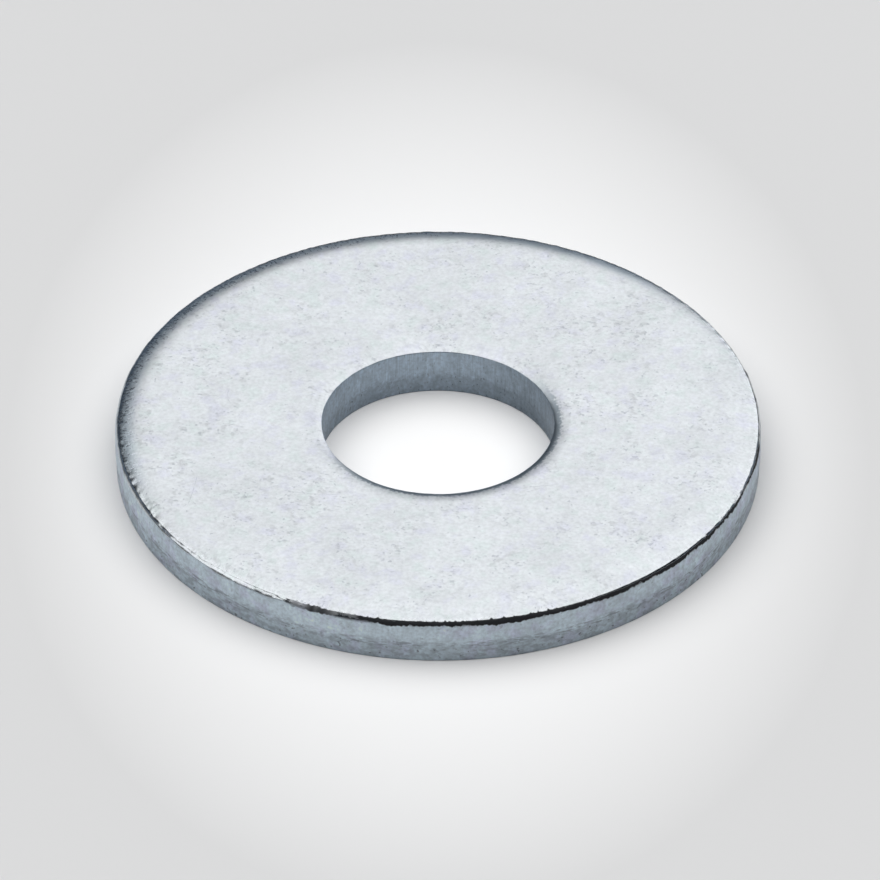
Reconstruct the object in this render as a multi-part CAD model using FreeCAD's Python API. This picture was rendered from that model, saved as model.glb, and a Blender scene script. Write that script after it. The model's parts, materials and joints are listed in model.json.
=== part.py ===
# A plain flat steel washer with a large outer diameter, for a 10 mm bolt: one solid.
# It is blanked and pierced from plate by one stroke of a die, tumbled, and zinc plated.
# Both cut sides keep the section that shearing leaves. From the upper face down it has a roll
# where the plate was drawn over, an upright land burnished by the tool, a leaning fracture
# where the plate tore, and a lower edge that tumbling has worn round.
# Millimetres, +Z up, with the origin on the axis of the bore at the lower bearing face.

import FreeCAD, Part
import math
import os

OUTER_DIAMETER = 30.0
BORE_DIAMETER = 10.8
THICKNESS = 2.5

OUTER_ROLL_WIDTH = 1.5
OUTER_ROLL_DEPTH = 0.45
OUTER_FRACTURE_HEIGHT = 0.95
OUTER_FRACTURE_LEAN = 0.05
OUTER_LOWER_ROUND = 0.08

BORE_ROLL_WIDTH = 0.9
BORE_ROLL_DEPTH = 0.25
BORE_FRACTURE_HEIGHT = 1.0
BORE_FRACTURE_LEAN = 0.04
BORE_LOWER_ROUND = 0.08

OUTER_RADIUS = OUTER_DIAMETER / 2
BORE_RADIUS = BORE_DIAMETER / 2

TOWARDS_AXIS = -1
AWAY_FROM_AXIS = 1
MIDDLE_POLE = 2
ELLIPSE_WEIGHT = math.cos(math.radians(45))
FULL_TURN = 360.0
TOLERANCE = 1e-6


def section_point(radius, height):
    """A point of the half-section, which lies in the XZ plane."""
    return FreeCAD.Vector(radius, 0, height)


def roll_edge(on_face, corner, on_land):
    """A quarter of an ellipse, level where it leaves the face and upright where it meets the land."""
    curve = Part.BezierCurve()
    curve.setPoles([on_face, corner, on_land])
    curve.setWeight(MIDDLE_POLE, ELLIPSE_WEIGHT)
    return curve.toShape()


def cut_side(land_radius, into_metal, roll_width, roll_depth, fracture_height, fracture_lean):
    """One cut side of the half-section: its start on the upper face, its foot, and its edges.

    into_metal is the direction from the cut side into the metal.
    """
    start = section_point(land_radius + into_metal * roll_width, THICKNESS)
    corner = section_point(land_radius, THICKNESS)
    land_top = section_point(land_radius, THICKNESS - roll_depth)
    land_bottom = section_point(land_radius, fracture_height)
    foot = section_point(land_radius + into_metal * fracture_lean, 0)
    edges = [
        roll_edge(start, corner, land_top),
        Part.makeLine(land_top, land_bottom),
        Part.makeLine(land_bottom, foot),
    ]
    return start, foot, edges


def half_section():
    """The washer's section on one side of its axis, as a face."""
    outer_start, outer_foot, outer_edges = cut_side(
        OUTER_RADIUS, TOWARDS_AXIS, OUTER_ROLL_WIDTH, OUTER_ROLL_DEPTH,
        OUTER_FRACTURE_HEIGHT, OUTER_FRACTURE_LEAN)
    bore_start, bore_foot, bore_edges = cut_side(
        BORE_RADIUS, AWAY_FROM_AXIS, BORE_ROLL_WIDTH, BORE_ROLL_DEPTH,
        BORE_FRACTURE_HEIGHT, BORE_FRACTURE_LEAN)
    upper_face = Part.makeLine(bore_start, outer_start)
    lower_face = Part.makeLine(outer_foot, bore_foot)
    outline = outer_edges + [lower_face] + bore_edges[::-1] + [upper_face]
    return Part.Face(Part.Wire(outline))


def lower_rim(solid, radius):
    """The circular edge of the given radius round the lower face."""
    for edge in solid.Edges:
        if isinstance(edge.Curve, Part.Circle):
            is_level = abs(edge.Curve.Center.z) < TOLERANCE
            if is_level and abs(edge.Curve.Radius - radius) < TOLERANCE:
                return edge
    raise ValueError("the lower face has no rim of radius %.3f mm" % radius)


def washer():
    """The section turned round the axis, with both lower rims worn round."""
    solid = half_section().revolve(section_point(0, 0), FreeCAD.Vector(0, 0, 1), FULL_TURN)
    outer_rim = lower_rim(solid, OUTER_RADIUS - OUTER_FRACTURE_LEAN)
    solid = solid.makeFillet(OUTER_LOWER_ROUND, [outer_rim])
    bore_rim = lower_rim(solid, BORE_RADIUS + BORE_FRACTURE_LEAN)
    return solid.makeFillet(BORE_LOWER_ROUND, [bore_rim])


os.makedirs("parts", exist_ok=True)
washer().exportStep("parts/washer.step")
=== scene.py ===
import json
import math

import bpy
from mathutils import Matrix, Quaternion, Vector


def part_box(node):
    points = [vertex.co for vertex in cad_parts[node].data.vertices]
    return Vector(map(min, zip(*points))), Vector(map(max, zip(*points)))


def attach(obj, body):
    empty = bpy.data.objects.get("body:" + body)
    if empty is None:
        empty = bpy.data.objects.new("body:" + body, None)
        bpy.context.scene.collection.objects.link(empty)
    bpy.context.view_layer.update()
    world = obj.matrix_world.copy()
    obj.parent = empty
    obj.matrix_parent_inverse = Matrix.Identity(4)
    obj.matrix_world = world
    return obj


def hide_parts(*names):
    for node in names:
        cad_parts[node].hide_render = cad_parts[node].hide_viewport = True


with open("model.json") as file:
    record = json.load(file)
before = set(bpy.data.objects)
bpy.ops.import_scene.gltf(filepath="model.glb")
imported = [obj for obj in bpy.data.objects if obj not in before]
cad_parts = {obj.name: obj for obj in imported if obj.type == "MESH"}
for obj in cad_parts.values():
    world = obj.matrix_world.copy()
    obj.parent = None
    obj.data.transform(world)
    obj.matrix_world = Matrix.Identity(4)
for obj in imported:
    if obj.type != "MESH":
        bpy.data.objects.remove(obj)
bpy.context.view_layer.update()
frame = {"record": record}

MM = 0.001

# The camera stands well back with a long lens, in front of the washer and above it, so that the
# washer's round edges show almost no perspective. It is turned a trace about its line of sight.
CAMERA_ELEVATION = math.radians(37.588)
CAMERA_ROLL = math.radians(0.206)
CAMERA_DISTANCE = 900 * MM
CLIP_START = CAMERA_DISTANCE / 10
CLIP_END = CAMERA_DISTANCE * 100
SENSOR_WIDTH = 36.0
PICTURE_SIDE = 880
PIXELS_PER_METRE = 21.5 / MM
WASHER_FOOT_PIXEL = Vector((437.92, 462.22))

picture_centre = Vector((PICTURE_SIDE / 2, PICTURE_SIDE / 2))
aside, below = (picture_centre - WASHER_FOOT_PIXEL) / PIXELS_PER_METRE
look_down = Matrix.Rotation(math.pi / 2 - CAMERA_ELEVATION, 3, "X")
camera_turn = look_down @ Matrix.Rotation(CAMERA_ROLL, 3, "Z")
bpy.ops.object.camera_add(
    location=camera_turn @ Vector((aside, -below, CAMERA_DISTANCE)), rotation=camera_turn.to_euler())
camera = bpy.context.object
camera.name = "camera"
camera.data.sensor_width = SENSOR_WIDTH
camera.data.lens = PIXELS_PER_METRE * CAMERA_DISTANCE / PICTURE_SIDE * SENSOR_WIDTH
camera.data.clip_start = CLIP_START
camera.data.clip_end = CLIP_END
bpy.context.scene.camera = camera
bpy.context.scene.view_settings.view_transform = "Standard"

# The table is one large matt sheet with a painted pool of light: white under the washer, it fades to pale
# grey around it.
# What the metal reflects of it is darker than what the camera sees, as with a table that is
# washed with light for the camera only.
TABLE_SIDE = 8.0
TABLE_FADE_START = 4.7 * MM
TABLE_FADE_END = 20.1 * MM
TABLE_FADE_POWER = 1.5
TABLE_CENTRE_TONE = 0.98
TABLE_FAR_TONE = 0.70
TABLE_REFLECTED_TONE = 0.56
TABLE_REFLECTED_FAR_TONE = 0.10
TABLE_REFLECTED_FADE = (19.5 * MM, 26 * MM)


def node(tree, kind, settings=(), inputs=()):
    """A new shader node. Inputs are values or other nodes' sockets, by their name or number."""
    made = tree.nodes.new(kind)
    for name, value in dict(settings).items():
        setattr(made, name, value)
    for key, value in dict(inputs).items():
        if isinstance(value, bpy.types.NodeSocket):
            tree.links.new(value, made.inputs[key])
        else:
            made.inputs[key].default_value = value
    return made


def calc(tree, operation, first, second=0.0, third=0.0):
    """The result of one step of arithmetic on numbers or sockets."""
    made = node(tree, "ShaderNodeMath", {"operation": operation}, {0: first, 1: second, 2: third})
    return made.outputs[0]


def fade(tree, value, start, end, low=0.0, high=1.0):
    """A smooth step from low, where value is start, to high, where it is end."""
    made = node(tree, "ShaderNodeMapRange", {"interpolation_type": "SMOOTHSTEP"}, {
        "Value": value, "From Min": start, "From Max": end, "To Min": low, "To Max": high})
    return made.outputs["Result"]


def distance(tree, place, centre=(0, 0, 0)):
    """How far a place is from a centre."""
    made = node(tree, "ShaderNodeVectorMath", {"operation": "DISTANCE"}, {0: place, 1: centre})
    return made.outputs["Value"]


def new_material(name):
    """A material with an empty node tree, and that tree."""
    material = bpy.data.materials.new(name)
    material.use_nodes = True
    material.node_tree.nodes.clear()
    return material, material.node_tree


bpy.ops.mesh.primitive_plane_add(size=TABLE_SIDE)
table = bpy.context.object
table.name = "table"
table_finish, tree = new_material("pale matt table")
place = node(tree, "ShaderNodeTexCoord").outputs["Object"]
round_view = node(tree, "ShaderNodeMapping", inputs={
    "Vector": place, "Scale": (1, math.sin(CAMERA_ELEVATION), 1)}).outputs["Vector"]
fade_share = node(tree, "ShaderNodeMapRange", inputs={
    "Value": distance(tree, round_view), "From Min": TABLE_FADE_START,
    "From Max": TABLE_FADE_END}).outputs["Result"]
# Painted pool of light: the tone that the camera sees is brightest under the washer and falls to pale grey
# around it.
painted_light_pool = calc(tree, "MULTIPLY_ADD", calc(tree, "POWER", fade_share, TABLE_FADE_POWER),
              TABLE_FAR_TONE - TABLE_CENTRE_TONE, TABLE_CENTRE_TONE)
reflected = fade(
    tree, distance(tree, place), *TABLE_REFLECTED_FADE, TABLE_REFLECTED_TONE, TABLE_REFLECTED_FAR_TONE)
seen = node(tree, "ShaderNodeLightPath").outputs["Is Camera Ray"]
tone = node(tree, "ShaderNodeMix", inputs={"Factor": seen, "A": reflected, "B": painted_light_pool}).outputs["Result"]
table_matt = node(tree, "ShaderNodeBsdfDiffuse", inputs={"Color": tone})
node(tree, "ShaderNodeOutputMaterial", inputs={"Surface": table_matt.outputs["BSDF"]})
table.data.materials.append(table_finish)

# The light is soft and comes from panels that only the metal mirrors, in a dark studio with a dim
# ring of light round the horizon. A wash from overhead lights the table, and leaves no shine on the
# metal.
PANEL_DISTANCE = 1.0
PANELS = [
    # its name; in degrees, its azimuth from straight behind, its elevation, its turn about its own
    # centre, its width and its height; its brightness
    ("panel_overhead", 19.0, 59.2, 51, 95, 74, 1.03),
    ("panel_left", -101, 27, 0, 38, 46, 1.05),
    ("panel_front_right", 135, 15, 0, 14, 14, 0.35),
]
WASH_STRENGTH = 3.15
WASH_ANGLE = math.radians(100)
WASH_COMES_FROM = Vector((-0.03, 0.12, 1.0))
WORLD_SEEN = (0.70, 0.70, 0.70, 1)
WORLD_RING_BACK_TONE = 0.14
WORLD_RING_FRONT_TONE = 0.02
WORLD_DARK_TONE = 0.014
WORLD_RING_TOP = math.sin(math.radians(30))
WORLD_RING_TURN = (-0.7, 0.3)
WORLD_COOL = (0.80, 1.0, 1.30)


def scaled(tree, vector, factor):
    """A vector or a colour times a number."""
    made = node(tree, "ShaderNodeVectorMath", {"operation": "SCALE"}, {0: vector, "Scale": factor})
    return made.outputs["Vector"]


def blend(tree, share, first, second):
    """A colour between first, at share 0, and second, at share 1."""
    made = node(tree, "ShaderNodeMix", {"data_type": "RGBA"}, {0: share, 6: first, 7: second})
    return made.outputs[2]


for name, azimuth, elevation, own_turn, width, height, brightness in PANELS:
    turn = math.radians(azimuth)
    rise = math.radians(elevation)
    way_to = Vector((math.sin(turn) * math.cos(rise), math.cos(turn) * math.cos(rise), math.sin(rise)))
    bpy.ops.object.light_add(type="AREA", location=way_to * PANEL_DISTANCE)
    panel = bpy.context.object
    panel.name = name
    upright = (-way_to).to_track_quat("-Z", "Y")
    panel.rotation_euler = (upright @ Quaternion((0, 0, 1), math.radians(own_turn))).to_euler()
    panel.data.shape = "RECTANGLE"
    panel.data.size = 2 * PANEL_DISTANCE * math.tan(math.radians(width / 2))
    panel.data.size_y = 2 * PANEL_DISTANCE * math.tan(math.radians(height / 2))
    panel.data.energy = brightness * math.pi * panel.data.size * panel.data.size_y
    panel.visible_camera = False
    panel.visible_diffuse = False

bpy.ops.object.light_add(type="SUN", location=(0, 0, PANEL_DISTANCE))
wash = bpy.context.object
wash.name = "table_wash"
wash.data.energy = WASH_STRENGTH
wash.data.angle = WASH_ANGLE
wash.rotation_euler = WASH_COMES_FROM.to_track_quat("Z", "Y").to_euler()
wash.visible_glossy = False

world = bpy.data.worlds.new("studio")
world.use_nodes = True
bpy.context.scene.world = world
tree = world.node_tree
tree.nodes.clear()
way = node(tree, "ShaderNodeTexCoord").outputs["Generated"]
way_parts = node(tree, "ShaderNodeSeparateXYZ", inputs={0: way}).outputs
ring_tone = fade(tree, way_parts["Y"], *WORLD_RING_TURN, WORLD_RING_FRONT_TONE, WORLD_RING_BACK_TONE)
ring = fade(tree, way_parts["Z"], 0.0, WORLD_RING_TOP, ring_tone, WORLD_DARK_TONE)
seen = node(tree, "ShaderNodeLightPath").outputs["Is Camera Ray"]
tone = blend(tree, seen, scaled(tree, WORLD_COOL, ring), WORLD_SEEN)
sky = node(tree, "ShaderNodeBackground", inputs={"Color": tone})
node(tree, "ShaderNodeOutputWorld", inputs={"Surface": sky.outputs["Background"]})

# The washer is one ring of steel plate, blanked and pierced by a die, tumbled, and zinc plated.
# Its section is turned round the axis with the cut sides that the die left: from the upper face
# down, a roll, a burnished land, a torn and slightly leaning fracture, and a worn lower edge.
washer_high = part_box("washer")[1]
bore_mount = next(m for m in frame["record"]["mounts"] if m["name"] == "bore")
# The CAD mesh has facets and is a trace narrower in one direction, so the smaller half-width is taken.
OUTER_RADIUS = min(washer_high.x, washer_high.y)
BORE_RADIUS = bore_mount["dims"]["r_mm"] * MM
THICKNESS = washer_high.z
# A roll is its width and depth, and a fracture is its lean and the height that it starts at.
OUTER_ROLL = (1.36 * MM, 0.252 * MM)
BORE_ROLL = (0.87 * MM, 0.16 * MM)
# Each row is an arc between the roll and the land: its radius, the slope that it ends at, and its steps.
OUTER_BENDS = [(0.07 * MM, math.radians(43), 3), (0.38 * MM, math.radians(86), 6)]
BORE_BENDS = [(0.04 * MM, math.radians(88), 4)]
# How much deeper the outer roll is at its deepest, which is towards -X.
DEEPER_ROLL_SHARE = 0.10
OUTER_FRACTURE = (0.05 * MM, 0.95 * MM)
BORE_FRACTURE = (0.04 * MM, 1.0 * MM)
LOWER_ROUND = 0.08 * MM
# The upper face falls by this much towards its rims, and the power keeps this off the sides.
FACE_CROWN = 0.01 * MM
CROWN_POWER = 8
TURN_STEPS = 1024
WELD_DISTANCE = 0.002 * MM
QUARTER_TURN = math.pi / 2
UPPER_FACE_STEPS = 22
LOWER_FACE_STEPS = 8
LOWER_ROUND_STEPS = 3
FRACTURE_STEPS = 6
LAND_STEPS = 6
OUTER_ROLL_STEPS = 11
BORE_ROLL_STEPS = 7

# Each row is the name of an unevenness, the size of its waves, its depth, the parts that it is on,
# the direction that it moves them in, and the level of its waves that moves nothing.
UNEVENNESS = [
    ("corner_teeth", 0.34 * MM, 0.045 * MM, "corners", "NORMAL", 0.6),
    ("land_edge_waves", 1.6 * MM, 0.30 * MM, "land_edges", "Z", 0.5),
    ("land_edge_teeth", 0.30 * MM, 0.10 * MM, "land_edges", "Z", 0.5),
    ("fracture_grain", 0.24 * MM, 0.028 * MM, "fractures", "NORMAL", 1.0),
    ("face_waves", 1.3 * MM, 0.004 * MM, "upper_face", "NORMAL", 1.0),
]
# How far those parts reach. A side includes this share of its roll, and the bore's corner and land
# edge are only slightly uneven.
CORNER_REACH = (0.02 * MM, 0.11 * MM)
LAND_EDGE_REACH = 0.24 * MM
FRACTURE_TOP_REACH = (0.15 * MM, 0.1 * MM)
FRACTURE_FOOT_REACH = 0.3 * MM
UPPER_FACE_REACH = 0.1 * MM
ROLL_SHARE_OF_SIDE = 0.5
BORE_EDGE_SHARE = 0.12


def straight(start, end, steps):
    """Points along a line after its start."""
    return [start.lerp(end, n / steps) for n in range(1, steps + 1)]


def arc(start, out, radius, first_slope, last_slope, steps):
    """Points after start round an arc that steepens from one slope to the other as it runs out and down."""
    slopes = [first_slope + (last_slope - first_slope) * n / steps for n in range(1, steps + 1)]
    return [start + radius * Vector((
        out * (math.sin(slope) - math.sin(first_slope)), math.cos(slope) - math.cos(first_slope)))
        for slope in slopes]


def cut_side(radius, into_metal, roll, bends, fracture, roll_steps):
    """Section points down one cut side, from the start of its roll to the lower face.

    into_metal is the direction from the cut side into the metal. The heights of the corner and of
    the land's top come with the points.
    """
    roll_width, roll_depth = roll
    lean, fracture_height = fracture
    roll_slope = 2 * math.atan2(roll_depth, roll_width)
    arcs = [(roll_width / math.sin(roll_slope), roll_slope, roll_steps)] + bends
    points = [Vector((0, THICKNESS))]
    slope = 0.0
    for arc_radius, last_slope, steps in arcs:
        points += arc(points[-1], -into_metal, arc_radius, slope, last_slope, steps)
        slope = last_slope
    to_land = Vector((radius - points[-1].x, 0))
    points = [point + to_land for point in points]
    corner_height = points[roll_steps + bends[0][2]].y
    land_top = points[-1]
    land_foot = Vector((radius, fracture_height))
    fracture_foot = Vector((radius + into_metal * lean, LOWER_ROUND))
    points += straight(land_top, land_foot, LAND_STEPS)
    points += straight(land_foot, fracture_foot, FRACTURE_STEPS)
    worn_centre = fracture_foot + Vector((into_metal * LOWER_ROUND, 0))
    turns = [QUARTER_TURN * n / LOWER_ROUND_STEPS for n in range(1, LOWER_ROUND_STEPS + 1)]
    points += [worn_centre - LOWER_ROUND * Vector((into_metal * math.cos(turn), math.sin(turn)))
               for turn in turns]
    return points, corner_height, land_top.y


outer_side, outer_corner_height, outer_land_top = cut_side(
    OUTER_RADIUS, -1, OUTER_ROLL, OUTER_BENDS, OUTER_FRACTURE, OUTER_ROLL_STEPS)
bore_side, bore_corner_height, bore_land_top = cut_side(
    BORE_RADIUS, 1, BORE_ROLL, BORE_BENDS, BORE_FRACTURE, BORE_ROLL_STEPS)
section = bore_side[::-1]
section += straight(bore_side[0], outer_side[0], UPPER_FACE_STEPS)
section += outer_side[1:]
section += straight(outer_side[-1], bore_side[-1], LOWER_FACE_STEPS)
middle_radius = (OUTER_RADIUS + BORE_RADIUS) / 2
for point in section:
    off_middle = (point.x - middle_radius) / (OUTER_RADIUS - middle_radius)
    point.y -= FACE_CROWN * off_middle ** 2 * max(point.y / THICKNESS, 0.0) ** CROWN_POWER

bpy.ops.object.select_all(action="DESELECT")
bpy.ops.mesh.primitive_plane_add(size=MM, location=(section[0].x, 0, section[0].y))
washer = bpy.context.object
washer.name = "zinc_washer"
bpy.ops.object.transform_apply(location=True)
bpy.ops.object.mode_set(mode="EDIT")
bpy.ops.mesh.select_all(action="SELECT")
bpy.ops.mesh.merge(type="CENTER")
for here, there in zip(section, section[1:]):
    step = there - here
    bpy.ops.mesh.extrude_vertices_move(TRANSFORM_OT_translate={"value": (step.x, 0, step.y)})
bpy.ops.mesh.select_all(action="SELECT")
bpy.ops.mesh.remove_doubles(threshold=WELD_DISTANCE)
bpy.ops.object.mode_set(mode="OBJECT")

lathe = washer.modifiers.new("lathe", "SCREW")
lathe.steps = TURN_STEPS
lathe.render_steps = TURN_STEPS
lathe.use_merge_vertices = True
lathe.merge_threshold = WELD_DISTANCE
bpy.ops.object.modifier_apply(modifier="lathe")
bpy.ops.object.mode_set(mode="EDIT")
bpy.ops.mesh.select_all(action="SELECT")
bpy.ops.mesh.remove_doubles(threshold=WELD_DISTANCE)
bpy.ops.mesh.normals_make_consistent(inside=False)
bpy.ops.object.mode_set(mode="OBJECT")
bpy.ops.object.shade_smooth()


def between(value, start, end):
    """0 at start and before, 1 at end and past it."""
    return min(max((value - start) / (end - start), 0.0), 1.0)


def part_shares(point):
    """How much of each uneven part a point of the washer belongs to."""
    radius = math.hypot(point.x, point.y)
    is_outer = radius > middle_radius
    if is_outer:
        inwards = OUTER_RADIUS - radius
        roll_width, fracture_height = OUTER_ROLL[0], OUTER_FRACTURE[1]
        corner_height, land_top, edge_share = outer_corner_height, outer_land_top, 1.0
    else:
        inwards = radius - BORE_RADIUS
        roll_width, fracture_height = BORE_ROLL[0], BORE_FRACTURE[1]
        corner_height, land_top, edge_share = bore_corner_height, bore_land_top, BORE_EDGE_SHARE
    near_corner = 1 - between(abs(point.z - corner_height), *CORNER_REACH)
    near_land_edge = 1 - between(abs(point.z - land_top), 0.0, LAND_EDGE_REACH)
    is_side = 1 - between(inwards, ROLL_SHARE_OF_SIDE * roll_width, roll_width)
    below, above = FRACTURE_TOP_REACH
    is_low = 1 - between(point.z, fracture_height - below, fracture_height + above)
    above_foot = between(point.z, 0.0, FRACTURE_FOOT_REACH)
    return {
        "corners": near_corner * is_side * edge_share,
        "land_edges": near_land_edge * is_side * edge_share,
        "fractures": is_low * above_foot * is_side,
        "upper_face": between(point.z, THICKNESS - UPPER_FACE_REACH, THICKNESS),
    }


for part in part_shares(washer.data.vertices[0].co):
    washer.vertex_groups.new(name=part)
for vertex in washer.data.vertices:
    radius = math.hypot(vertex.co.x, vertex.co.y)
    if radius > middle_radius and vertex.co.z > outer_land_top - WELD_DISTANCE:
        deeper = DEEPER_ROLL_SHARE * max(-vertex.co.x / radius, 0.0)
        vertex.co.z = THICKNESS - (THICKNESS - vertex.co.z) * (1 + deeper)
    for part, share in part_shares(vertex.co).items():
        if share > 0:
            washer.vertex_groups[part].add([vertex.index], share, "REPLACE")
for name, wave, depth, part, direction, still_level in UNEVENNESS:
    cloud = bpy.data.textures.new(name, "CLOUDS")
    cloud.noise_scale = wave
    cloud.noise_depth = 1
    rough = washer.modifiers.new(name, "DISPLACE")
    rough.texture = cloud
    rough.texture_coords = "LOCAL"
    rough.direction = direction
    rough.mid_level = still_level
    rough.strength = depth
    rough.vertex_group = part
    bpy.ops.object.modifier_apply(modifier=name)
washer.vertex_groups.clear()

# One finish covers the washer. Its faces are satin zinc, mottled, flecked and faintly scratched. Its cut
# sides are bluer and darker, with upright drag marks on the lands and smears, stains and pits below.
# Lengths are in millimetres. A grain is the size of its features and how fine its detail is, and levels
# are the two strengths of a grain that a mark fades in between.
FACE_BRIGHT = (0.775, 0.81, 0.84, 1)
FACE_VIOLET = (0.74, 0.765, 0.845, 1)
FACE_GREEN = (0.735, 0.80, 0.81, 1)
FLECK = (0.34, 0.37, 0.42, 1)
CLOUD_GRAIN = (3.2, 3.0)
CLOUD_DEPTH = 0.20
MOTTLE_GRAIN = (0.75, 3.0)
MOTTLE_DEPTH = 0.20
FINE_GRAIN = (0.16, 2.0)
FINE_DEPTH = 0.38
TINT_GRAIN = (0.9, 4.0)
VIOLET_LEVELS = (0.50, 0.72)
GREEN_LEVELS = (0.50, 0.28)
WISP_GRAIN = (0.40, 4.0)
WISP_LEVELS = (0.53, 0.68)
WISP_DEPTH = 0.15
WISPS_EVERYWHERE = 0.3
WISPS_IN_ZONES = 0.8
FLECK_ZONE_GRAIN = (1.9, 2.0)
FLECK_ZONE_LEVELS = (0.42, 0.64)
DASH_GRAIN = (0.19, 1.0)
DASH_LEVELS = (0.60, 0.70)
DASH_TURN = (0, 0, 0.5)
DASH_SQUEEZE = (0.85, 1.1, 1)
LONE_FLECK_GRAIN = (0.26, 1.0)
LONE_FLECK_LEVELS = (0.72, 0.78)
FLECK_STRENGTH = 0.42
SCRATCHES = [
    # the centre and radius of the arc that it follows, the middle of the scratch, and half its length
    ((-8.5, 1.8), 1.3, (-9.8, 1.6), 0.8),
    ((-5.0, 1.5), 7.2, (-5.6, -5.6), 1.6),
    ((-14.0, 9.0), 15.5, (-7.6, -5.1), 1.1),
    ((2.0, 14.0), 19.2, (4.4, -5.0), 1.3),
    ((-30.0, -2.0), 19.0, (-11.4, -5.4), 1.4),
    ((3.5, 20.0), 13.0, (5.3, 7.1), 1.2),
]
SCRATCH_HALF_WIDTH = 0.035
SCRATCH_FULL_SHARE = 0.6
SCRATCH_LEVELS = (0.42, 0.56)
SCRATCH_STRENGTH = 0.45


def grain(tree, vector, size, detail):
    """Noise from 0 to 1 with features of the given size, in the units of vector."""
    made = node(tree, "ShaderNodeTexNoise", inputs={"Vector": vector, "Scale": 1 / size, "Detail": detail})
    return made.outputs[0]


def joined(tree, x, y, z):
    """A vector of three numbers."""
    return node(tree, "ShaderNodeCombineXYZ", inputs={0: x, 1: y, 2: z}).outputs["Vector"]


def product(tree, result, *factors):
    """All the numbers multiplied."""
    for factor in factors:
        result = calc(tree, "MULTIPLY", result, factor)
    return result


def varied(tree, noise, depth, middle=1.0):
    """Noise from 0 to 1 as a factor that lies round middle and is depth from end to end."""
    return calc(tree, "MULTIPLY_ADD", noise, depth, middle - depth / 2)


def centred(tree, noise):
    """Noise from 0 to 1 moved to lie round 0."""
    return calc(tree, "SUBTRACT", noise, 0.5)


zinc, tree = new_material("zinc plate")
place = scaled(tree, node(tree, "ShaderNodeTexCoord").outputs["Object"], 1 / MM)
x, y, z = node(tree, "ShaderNodeSeparateXYZ", inputs={0: place}).outputs
radius = calc(tree, "SQRT", calc(tree, "ADD", product(tree, x, x), product(tree, y, y)))
along_x = calc(tree, "DIVIDE", x, radius)
along_y = calc(tree, "DIVIDE", y, radius)
from_outer = calc(tree, "SUBTRACT", OUTER_RADIUS / MM, radius)
from_bore = calc(tree, "SUBTRACT", radius, BORE_RADIUS / MM)
inwards = calc(tree, "MINIMUM", from_outer, from_bore)
is_outer = fade(tree, radius, middle_radius / MM - 1, middle_radius / MM + 1)

clouds = grain(tree, place, *CLOUD_GRAIN)
mottle = grain(tree, place, *MOTTLE_GRAIN)
fine = grain(tree, place, *FINE_GRAIN)
tint = grain(tree, joined(tree, y, z, x), *TINT_GRAIN)
face_colour = blend(tree, fade(tree, tint, *VIOLET_LEVELS), FACE_BRIGHT, FACE_VIOLET)
face_colour = blend(tree, fade(tree, tint, *GREEN_LEVELS), face_colour, FACE_GREEN)
fleck_zones = fade(tree, grain(tree, place, *FLECK_ZONE_GRAIN), *FLECK_ZONE_LEVELS)
wisp_zones = calc(tree, "MULTIPLY_ADD", fleck_zones, WISPS_IN_ZONES, WISPS_EVERYWHERE)
wisps = product(tree, fade(tree, grain(tree, place, *WISP_GRAIN), *WISP_LEVELS), wisp_zones)
face_light = product(
    tree, varied(tree, clouds, CLOUD_DEPTH), varied(tree, mottle, MOTTLE_DEPTH),
    varied(tree, fine, FINE_DEPTH), calc(tree, "MULTIPLY_ADD", wisps, -WISP_DEPTH, 1.0))
face_colour = scaled(tree, face_colour, face_light)
slanted = node(tree, "ShaderNodeMapping", inputs={
    "Vector": place, "Rotation": DASH_TURN, "Scale": DASH_SQUEEZE}).outputs["Vector"]
dashes = fade(tree, grain(tree, slanted, *DASH_GRAIN), *DASH_LEVELS)
lone_flecks = fade(tree, grain(tree, joined(tree, y, x, z), *LONE_FLECK_GRAIN), *LONE_FLECK_LEVELS)
flecks = calc(tree, "MAXIMUM", product(tree, dashes, fleck_zones), lone_flecks)
from_above = joined(tree, x, y, 0.0)
scratched = 0.0
for centre, arc_radius, middle, half_length in SCRATCHES:
    to_centre = distance(tree, from_above, (*centre, 0))
    off_arc = calc(tree, "ABSOLUTE", calc(tree, "SUBTRACT", to_centre, arc_radius))
    off_middle = distance(tree, from_above, (*middle, 0))
    line = product(tree, fade(tree, off_arc, SCRATCH_HALF_WIDTH, 0.0),
                   fade(tree, off_middle, half_length, SCRATCH_FULL_SHARE * half_length))
    scratched = calc(tree, "MAXIMUM", scratched, line)
scratched = product(tree, scratched, fade(tree, fine, *SCRATCH_LEVELS))
marks = calc(tree, "MAXIMUM", product(tree, flecks, FLECK_STRENGTH),
             product(tree, scratched, SCRATCH_STRENGTH))
face_colour = blend(tree, marks, face_colour, FLECK)

# The cut sides. A foot or a top is two heights that a mark or a light fades in between. A pair by side
# is the bore's value and then the outer side's. A squeeze is how many times shorter a grain's features
# are across the rim than along it. Below 1 they are drawn out, upright on a side or inwards on a roll.
# The bore's side is a darker colour than the outer side: painted shade, standing in for the shade inside
# the hole.
SIDE_BORE_PAINTED_SHADE = (0.455, 0.545, 0.635, 1)
SIDE_OUTER = (0.60, 0.695, 0.765, 1)
SIDE_VIOLET = (0.59, 0.645, 0.755, 1)
SIDE_DARK = (0.16, 0.18, 0.21, 1)
SIDE_VIOLET_LEVELS = (0.46, 0.66)
SIDE_CLOUD_GRAIN = (2.2, 2.0)
SIDE_MOTTLE_GRAIN = (0.55, 3.0)
# How deeply each grain varies a side's light, and the middle that it varies round.
SIDE_CLOUD_SWING = (0.36, 1.02)
SIDE_MOTTLE_SWING = (0.55, 1.015)
SIDE_FINE_SWING = (0.60, 1.01)
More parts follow.
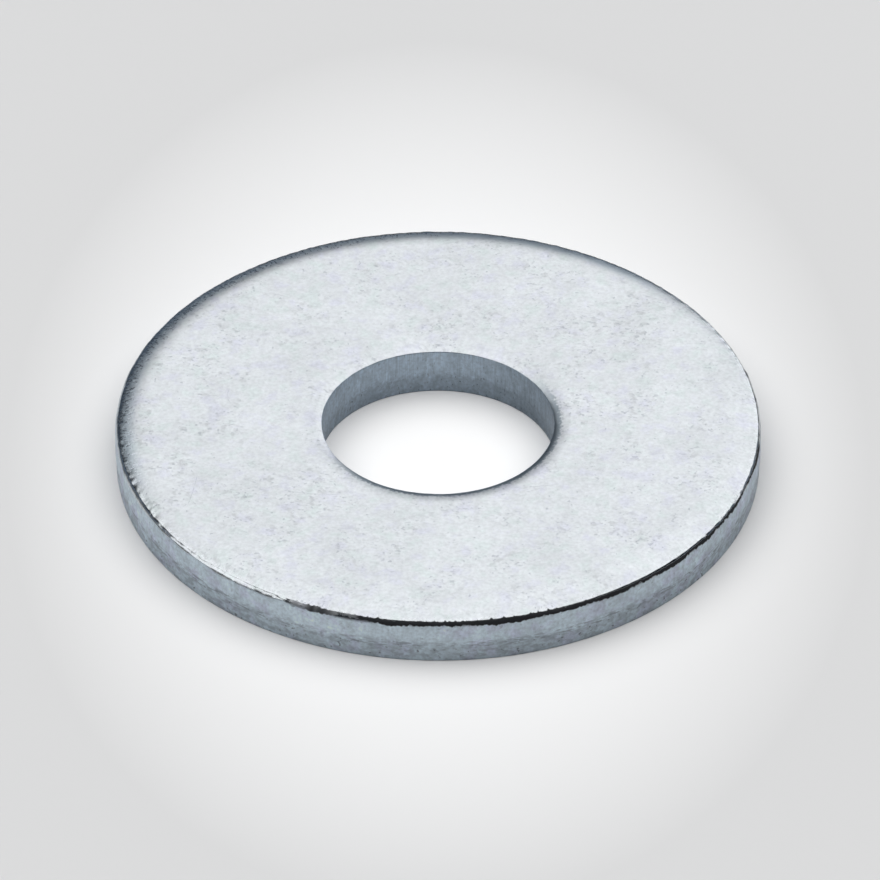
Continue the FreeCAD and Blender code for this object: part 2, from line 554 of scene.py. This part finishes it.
# Painted light and shade: each side's colour is scaled from its first value to its second while the cosine
# of the angle from +X rises from the first turn to the second.
BORE_TURN = (0.0, 0.8)
BORE_PAINTED_LIGHT = (1.05, 0.80)
OUTER_TURN = (-0.9, 0.8)
OUTER_PAINTED_LIGHT = (1.14, 1.03)
LAND_FOOT = (0.75, 1.1)
LAND_LIGHT = (0.90, 1.01)
DRAG_GRAIN = (0.13, 2.0)
DRAG_SQUEEZE = 0.07
DRAG_DEPTH_BY_SIDE = (0.65, 0.20)
SMEAR_GRAIN = (0.6, 3.0)
SMEAR_SQUEEZE = 6.0
SMEAR_LEVELS = (0.50, 0.64)
SMEAR_FOOT = (0.55, 0.85)
SMEAR_TOP = (1.25, 1.0)
SMEARS_BY_SIDE = (0.2, 0.6)
PIT_GRAIN = (0.20, 1.0)
PIT_LEVELS = (0.66, 0.74)
PIT_TOP = (1.5, 0.6)
PITS_LOW_DOWN = 0.7
PITS_BY_SIDE = (0.6, 0.3)
PIT_STRENGTH = 0.75
STAIN_GRAIN = (0.45, 5.0)
STAIN_SQUEEZE = 2.0
STAIN_LEVELS = (0.47, 0.60)
STAIN_TOP = (1.5, 0.9)
STAINS_BY_SIDE = (0.15, 0.30)

rim_x = product(tree, along_x, OUTER_RADIUS / MM)
rim_y = product(tree, along_y, OUTER_RADIUS / MM)


def wound(tree, across, squeeze=1.0):
    """A place for a grain that follows the rim, where across is the height or the way in from the rim."""
    return joined(tree, rim_x, rim_y, product(tree, across, squeeze))


def by_side(tree, bore_value, outer_value):
    """The bore's value on the bore's half of the washer, and the outer side's on the other."""
    return fade(tree, is_outer, 0.0, 1.0, bore_value, outer_value)


drag = grain(tree, wound(tree, z, DRAG_SQUEEZE), *DRAG_GRAIN)
side_mottle = grain(tree, wound(tree, z), *SIDE_MOTTLE_GRAIN)
side_clouds = grain(tree, wound(tree, z), *SIDE_CLOUD_GRAIN)
side_tint = product(tree, fade(tree, tint, *SIDE_VIOLET_LEVELS), is_outer)
# The bore's side takes its darker colour, which is painted shade.
side_colour = blend(tree, side_tint, blend(tree, is_outer, SIDE_BORE_PAINTED_SHADE, SIDE_OUTER), SIDE_VIOLET)
# Painted light and shade by direction: the bore's side is darker towards +X, the outer side lighter towards
# -X.
bore_painted_light = fade(tree, along_x, *BORE_TURN, *BORE_PAINTED_LIGHT)
outer_painted_light = fade(tree, along_x, *OUTER_TURN, *OUTER_PAINTED_LIGHT)
side_tone_and_painted_light = product(
    tree, varied(tree, side_clouds, *SIDE_CLOUD_SWING), by_side(tree, bore_painted_light, outer_painted_light),
    varied(tree, side_mottle, *SIDE_MOTTLE_SWING), varied(tree, fine, *SIDE_FINE_SWING),
    fade(tree, z, *LAND_FOOT, *LAND_LIGHT))
drag_depth = product(tree, fade(tree, z, *LAND_FOOT), by_side(tree, *DRAG_DEPTH_BY_SIDE))
drag_light = calc(tree, "MULTIPLY_ADD", centred(tree, drag), drag_depth, 1.0)
side_colour = scaled(tree, side_colour, product(tree, side_tone_and_painted_light, drag_light))
smear = grain(tree, wound(tree, z, SMEAR_SQUEEZE), *SMEAR_GRAIN)
smears = product(
    tree, fade(tree, smear, *SMEAR_LEVELS), fade(tree, z, *SMEAR_FOOT), fade(tree, z, *SMEAR_TOP))
pit_zones = calc(tree, "MULTIPLY_ADD", fade(tree, z, *PIT_TOP), PITS_LOW_DOWN, by_side(tree, *PITS_BY_SIDE))
pits = product(tree, fade(tree, grain(tree, wound(tree, z), *PIT_GRAIN), *PIT_LEVELS), pit_zones)
stain = grain(tree, wound(tree, z, STAIN_SQUEEZE), *STAIN_GRAIN)
stains = product(tree, fade(tree, stain, *STAIN_LEVELS), fade(tree, z, *STAIN_TOP))
dirt = calc(tree, "MAXIMUM", product(tree, smears, by_side(tree, *SMEARS_BY_SIDE)),
            product(tree, pits, PIT_STRENGTH))
dirt = calc(tree, "MAXIMUM", dirt, product(tree, stains, by_side(tree, *STAINS_BY_SIDE)))
side_colour = blend(tree, dirt, side_colour, SIDE_DARK)

# The rims. The sides' finish starts at slightly ragged edges. Where the outer roll turns into the land, a
# crease holds a painted dark line, standing in for a dark reflection, broken over part of the way round.
# Opposite the crease the outer roll has a painted darker, bluer reflection, and towards it the bore's rim
# is painted darker.
ROLL_PAINTED_REFLECTION = (0.62, 0.71, 0.78, 1)
BORE_RIM_PAINTED_DARK = (0.36, 0.42, 0.47, 1)
CREASE_PAINTED_DARK = (0.014, 0.015, 0.018, 1)
SIDE_EDGE = (0.035, 0.0)
SIDE_EDGE_RAGGEDNESS = 0.03
SIDE_EDGE_BELOW = 0.15
UPPER_HALF = (1.2, 1.8)
PAINTED_REFLECTION_EDGE = (1.10, 0.35)
RIM_EDGE = (0.42, 0.22)
RIM_RAGGEDNESS = 0.55
# The way from the axis to the middle of the crease. Turns are cosines of the angle from it that the painted
# reflection on the roll, the painted dark bore rim and the painted dark line fade in between.
CREASE_WAY = (0.53, -0.85)
PAINTED_REFLECTION_TURN = (-0.10, -0.45)
RIM_TURN = (-0.2, 0.45)
CREASE_TURN = (0.50, 0.66)
# How far below the upper face the crease begins and ends. Each depth goes from its first value to its
# second while the cosine of the angle from +X rises from the first turn to the second.
CREASE_TOP_TURN = (0.3, 0.7)
CREASE_TOP = (0.27, 0.33)
CREASE_TOP_BLUR = (-0.01, 0.01)
CREASE_BOTTOM_TURN = (0.2, 0.7)
CREASE_BOTTOM = (0.465, 0.475)
CREASE_BOTTOM_BLUR = (-0.02, 0.03)
CREASE_INNER_EDGE = (0.30, 0.22)
UNDULATION_GRAIN = (1.7, 3.0)
UNDULATION_DEPTH = 0.48
UNDULATION_BREAKS = 0.55
TEETH_GRAIN = (0.2, 2.0)
TEETH_SQUEEZE = 0.5
TOP_TEETH = 0.14
BOTTOM_TEETH = 0.26

side_edge = calc(tree, "MULTIPLY_ADD", centred(tree, mottle), SIDE_EDGE_RAGGEDNESS, inwards)
side_edge = calc(tree, "SUBTRACT", side_edge, fade(tree, z, *UPPER_HALF, SIDE_EDGE_BELOW, 0.0))
side_share = fade(tree, side_edge, *SIDE_EDGE)
is_upper = fade(tree, z, *UPPER_HALF)
towards_crease = calc(tree, "MULTIPLY_ADD", along_x, CREASE_WAY[0], product(tree, along_y, CREASE_WAY[1]))
# Painted reflection: away from the crease the outer roll takes a darker, bluer colour, standing in for the
# dark reflection in it.
painted_reflection_share = product(
    tree, fade(tree, inwards, *PAINTED_REFLECTION_EDGE), is_outer, fade(tree, towards_crease, *PAINTED_REFLECTION_TURN), is_upper)
face_colour = blend(tree, painted_reflection_share, face_colour, ROLL_PAINTED_REFLECTION)
rim_edge = calc(tree, "MULTIPLY_ADD", centred(tree, fine), RIM_RAGGEDNESS, from_bore)
# Painted dark reflection: towards the crease the bore's rim is coloured darker.
painted_rim_share = product(tree, fade(tree, rim_edge, *RIM_EDGE), fade(tree, towards_crease, *RIM_TURN), is_upper)
face_colour = blend(tree, painted_rim_share, face_colour, BORE_RIM_PAINTED_DARK)
colour = blend(tree, side_share, face_colour, side_colour)
face_depth = calc(tree, "SUBTRACT", THICKNESS / MM, z)
undulation = centred(tree, grain(tree, wound(tree, 0.0), *UNDULATION_GRAIN))
teeth = centred(tree, grain(tree, wound(tree, z, TEETH_SQUEEZE), *TEETH_GRAIN))
crease_top = fade(tree, along_x, *CREASE_TOP_TURN, *CREASE_TOP)
crease_top = calc(tree, "MULTIPLY_ADD", teeth, TOP_TEETH, crease_top)
crease_bottom = fade(tree, along_x, *CREASE_BOTTOM_TURN, *CREASE_BOTTOM)
crease_bottom = calc(tree, "MULTIPLY_ADD", undulation, UNDULATION_DEPTH, crease_bottom)
crease_bottom = calc(tree, "MULTIPLY_ADD", teeth, BOTTOM_TEETH, crease_bottom)
broken = calc(tree, "MULTIPLY_ADD", undulation, UNDULATION_BREAKS, towards_crease)
# Painted dark reflection: a broken dark line where the outer roll turns into the land, over part of the way
# round.
painted_crease_line = product(
    tree, fade(tree, calc(tree, "SUBTRACT", face_depth, crease_top), *CREASE_TOP_BLUR),
    fade(tree, calc(tree, "SUBTRACT", crease_bottom, face_depth), *CREASE_BOTTOM_BLUR),
    fade(tree, inwards, *CREASE_INNER_EDGE), fade(tree, broken, *CREASE_TURN), is_outer)
colour = blend(tree, painted_crease_line, colour, CREASE_PAINTED_DARK)

# The sheen and the relief. The metal is smoother where the rolls are steep, blurred but with almost no
# relief round the bore, and streaky on the outer roll, most of all towards -X. The painted dark line in the
# crease is rough and no metal. A row of four is where something starts and ends, and its values there.
FACE_ROUGHNESS = 0.26
FACE_ROUGHNESS_DEPTH = 0.12
SIDE_ROUGHNESS = 0.32
SIDE_ROUGHNESS_DEPTH = 0.20
CREASE_ROUGHNESS = 0.7
STEEP_ROLL = (0.40, 0.12)
STEEP_ROLL_SMOOTHER = 0.12
BORE_BLUR = (0.3, 1.1, 0.10, 0.0)
STREAK_GRAIN = (0.11, 2.0)
STREAK_SQUEEZE = 0.55
STREAK_EDGE = (1.2, 0.25)
STREAKS_INWARDS = (0.15, 0.50, 0.40, 1.2)
STREAKS_ALONG_X = (0.3, -0.5, 0.2, 1.0)
STREAKS_ALONG_Y = (-0.55, -0.15, 0.30, 1.0)
STREAK_ROUGHNESS = 0.6
RELIEF_HEIGHT = 0.004 * MM
FACE_RELIEF = (0.5, 1.4, 0.06, 0.5)
ROLL_RELIEF = 1.3
DRAG_RELIEF = 0.4
MARK_RELIEF = 1.5

face_roughness = calc(tree, "MULTIPLY_ADD", mottle, FACE_ROUGHNESS_DEPTH, FACE_ROUGHNESS)
steep_roll = product(tree, fade(tree, inwards, *STEEP_ROLL), is_upper)
face_roughness = calc(tree, "MULTIPLY_ADD", steep_roll, -STEEP_ROLL_SMOOTHER, face_roughness)
face_roughness = calc(tree, "ADD", face_roughness, fade(tree, from_bore, *BORE_BLUR))
streaks = grain(tree, wound(tree, inwards, STREAK_SQUEEZE), *STREAK_GRAIN)
streak_share = product(
    tree, fade(tree, inwards, *STREAK_EDGE), is_upper, is_outer, fade(tree, inwards, *STREAKS_INWARDS),
    fade(tree, along_x, *STREAKS_ALONG_X), fade(tree, along_y, *STREAKS_ALONG_Y))
uneven_streaks = product(tree, centred(tree, streaks), streak_share)
face_roughness = calc(tree, "MULTIPLY_ADD", uneven_streaks, STREAK_ROUGHNESS, face_roughness)
side_roughness = calc(tree, "MULTIPLY_ADD", side_mottle, SIDE_ROUGHNESS_DEPTH, SIDE_ROUGHNESS)
roughness = node(tree, "ShaderNodeMix", inputs={
    "Factor": side_share, "A": face_roughness, "B": side_roughness}).outputs["Result"]
roughness = calc(tree, "MAXIMUM", roughness, product(tree, painted_crease_line, CREASE_ROUGHNESS))

face_relief = product(tree, fine, fade(tree, from_bore, *FACE_RELIEF))
roll_relief = product(tree, calc(tree, "ADD", streaks, fine), streak_share, ROLL_RELIEF)
side_relief = product(tree, calc(tree, "MULTIPLY_ADD", drag, DRAG_RELIEF, fine), side_share)
height = calc(tree, "ADD", calc(tree, "ADD", face_relief, roll_relief), side_relief)
height = calc(tree, "SUBTRACT", height, product(tree, marks, MARK_RELIEF))
relief = node(tree, "ShaderNodeBump", inputs={"Strength": 1.0, "Distance": RELIEF_HEIGHT, "Height": height})
metal = node(tree, "ShaderNodeBsdfPrincipled", inputs={
    "Base Color": colour, "Metallic": calc(tree, "SUBTRACT", 1.0, painted_crease_line), "Roughness": roughness,
    "Normal": relief.outputs["Normal"]})
node(tree, "ShaderNodeOutputMaterial", inputs={"Surface": metal.outputs["BSDF"]})
washer.data.materials.append(zinc)

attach(washer, "root")
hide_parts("washer")
